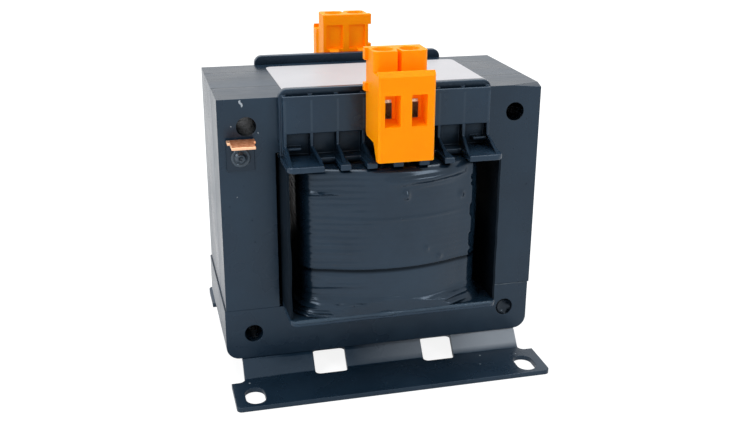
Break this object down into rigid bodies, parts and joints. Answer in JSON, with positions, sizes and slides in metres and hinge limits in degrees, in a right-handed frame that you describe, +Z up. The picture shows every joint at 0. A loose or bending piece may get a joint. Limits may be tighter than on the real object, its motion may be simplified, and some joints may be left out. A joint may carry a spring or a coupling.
{
  "type": "mains transformer",
  "caption": "Open-frame mains transformer: laminated iron core, taped coil, folded foot brackets with slots, and orange screw terminal blocks front and rear.",
  "frame": {"origin": "on the mounting plane under the foot brackets, below the middle of the core", "axes": "+X along the core's width, to the right as the front terminals are faced; -Y towards the front terminals; +Z up, away from the mounting plane"},
  "size_m": [0.0964, 0.086, 0.1006],
  "materials": {
    "core_varnish": "electrical steel sheets under dark blue-grey dipping varnish",
    "bracket_varnish": "folded steel sheet under the same varnish",
    "former_varnish": "glass-filled moulding under varnish",
    "cheek_board": "pressboard soaked with varnish",
    "winding_copper": "enamelled copper wire, soaked with varnish",
    "layer_paper": "insulating paper between the windings",
    "coil_tape": "insulating tape under varnish",
    "block_plastic": "orange polyamide, satin",
    "clamp_steel": "zinc-plated steel",
    "bar_brass": "tinned brass",
    "lead_copper": "solid copper wire",
    "label_film": "white self-adhesive film, left bare",
    "tab_copper": "bare copper-coloured sheet and rivet"
  },
  "bodies": {
    "transformer": {"e_lamination_stack": "core_varnish", "i_lamination_stack": "core_varnish", "foot_bracket_front": "bracket_varnish", "foot_bracket_rear": "bracket_varnish", "bracket_weld_beads": "bracket_varnish", "coil_former": "former_varnish", "side_cheek_left": "cheek_board", "side_cheek_right": "cheek_board", "primary_winding": "winding_copper", "layer_insulation": "layer_paper", "secondary_winding": "winding_copper", "tape_wrap": "coil_tape", "tape_band": "coil_tape", "rating_label": "label_film", "earth_tab": "tab_copper", "earth_rivet": "tab_copper", "front_terminal_housing": "block_plastic", "front_left_contact_bar": "bar_brass", "front_left_lead": "lead_copper", "front_right_contact_bar": "bar_brass", "front_right_lead": "lead_copper", "rear_terminal_housing": "block_plastic", "rear_left_contact_bar": "bar_brass", "rear_left_lead": "lead_copper", "rear_right_contact_bar": "bar_brass", "rear_right_lead": "lead_copper"},
    "front_left_screw": {"front_left_clamp_screw": "clamp_steel"},
    "front_left_cage": {"front_left_clamp_cage": "clamp_steel"},
    "front_right_screw": {"front_right_clamp_screw": "clamp_steel"},
    "front_right_cage": {"front_right_clamp_cage": "clamp_steel"},
    "rear_left_screw": {"rear_left_clamp_screw": "clamp_steel"},
    "rear_left_cage": {"rear_left_clamp_cage": "clamp_steel"},
    "rear_right_screw": {"rear_right_clamp_screw": "clamp_steel"},
    "rear_right_cage": {"rear_right_clamp_cage": "clamp_steel"}
  },
  "joints": [
    {"name": "front_left_screw_turn", "type": "hinge", "parent": "transformer", "child": "front_left_screw", "pos_m": [-0.0036, -0.03315, 0.09745], "axis": [0, 0, -1], "range_deg": [0, 2520]},
    {"name": "front_left_cage_lift", "type": "slide", "parent": "transformer", "child": "front_left_cage", "axis": [0, 0, 1], "range_m": [0, 0.0035]},
    {"name": "front_right_screw_turn", "type": "hinge", "parent": "transformer", "child": "front_right_screw", "pos_m": [0.0039, -0.03315, 0.09745], "axis": [0, 0, -1], "range_deg": [0, 2520]},
    {"name": "front_right_cage_lift", "type": "slide", "parent": "transformer", "child": "front_right_cage", "axis": [0, 0, 1], "range_m": [0, 0.0035]},
    {"name": "rear_left_screw_turn", "type": "hinge", "parent": "transformer", "child": "rear_left_screw", "pos_m": [0.0043, 0.03315, 0.09745], "axis": [0, 0, -1], "range_deg": [0, 2520]},
    {"name": "rear_left_cage_lift", "type": "slide", "parent": "transformer", "child": "rear_left_cage", "axis": [0, 0, 1], "range_m": [0, 0.0035]},
    {"name": "rear_right_screw_turn", "type": "hinge", "parent": "transformer", "child": "rear_right_screw", "pos_m": [-0.0032, 0.03315, 0.09745], "axis": [0, 0, -1], "range_deg": [0, 2520]},
    {"name": "rear_right_cage_lift", "type": "slide", "parent": "transformer", "child": "rear_right_cage", "axis": [0, 0, 1], "range_m": [0, 0.0035]}
  ],
  "couplings": [
    {"joint": "front_left_screw_turn", "follows": "front_left_cage_lift", "rad_per_m": 12566},
    {"joint": "front_right_screw_turn", "follows": "front_right_cage_lift", "rad_per_m": 12566},
    {"joint": "rear_left_screw_turn", "follows": "rear_left_cage_lift", "rad_per_m": 12566},
    {"joint": "rear_right_screw_turn", "follows": "rear_right_cage_lift", "rad_per_m": 12566}
  ]
}
